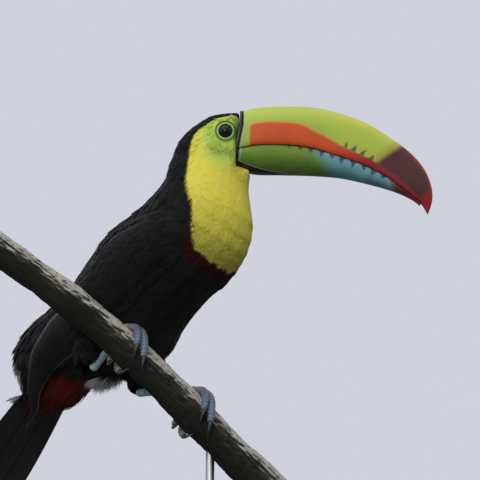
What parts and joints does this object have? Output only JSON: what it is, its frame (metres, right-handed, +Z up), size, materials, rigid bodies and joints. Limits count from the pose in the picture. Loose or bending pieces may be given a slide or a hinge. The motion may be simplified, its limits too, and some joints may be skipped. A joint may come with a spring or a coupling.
{
  "type": "bird display model",
  "caption": "Life-size still model of a keel-billed toucan gripping a sloping cut branch, on a round base with a short rod.",
  "frame": {"origin": "middle of the underside of the round stand base", "axes": "+X the way the bill points, -Y the side that the bird's right flank and the camera are on, +Z up"},
  "size_m": [0.3668, 0.2676, 0.3517],
  "materials": {
    "black_feathers": "soft matt vanes with a faint grey sheen",
    "yellow_feathers": "soft matt, fine and close",
    "red_feathers": "soft matt, loose downy ends",
    "white_feathers": "soft matt down",
    "face_skin": "bare, finely wrinkled, slightly moist",
    "bill_horn": "smooth satin horn with marked edges",
    "eye": "wet gloss",
    "leg_scales": "overlapping smooth scutes",
    "claw_horn": "smooth satin horn",
    "bark": "rough weathered bark with pale lichen",
    "base_wood": "dark stained, satin varnish",
    "rod_steel": "fine brushed"
  },
  "bodies": {
    "root": {"bill_upper": "bill_horn", "bill_lower": "bill_horn", "head": "yellow_feathers", "neck": "yellow_feathers", "trunk": "black_feathers", "tail": "black_feathers", "wing_right": "black_feathers", "wing_left": "black_feathers", "eye_right": "eye", "eye_left": "eye", "perch": "bark", "foot_right": "leg_scales", "claw_right_1": "claw_horn", "claw_right_2": "claw_horn", "claw_right_3": "claw_horn", "claw_right_4": "claw_horn", "tarsus_right": "leg_scales", "thigh_right": "black_feathers", "foot_left": "leg_scales", "claw_left_1": "claw_horn", "claw_left_2": "claw_horn", "claw_left_3": "claw_horn", "claw_left_4": "claw_horn", "tarsus_left": "leg_scales", "thigh_left": "black_feathers", "stand_base": "base_wood", "stand_rod": "rod_steel"}
  },
  "joints": []
}
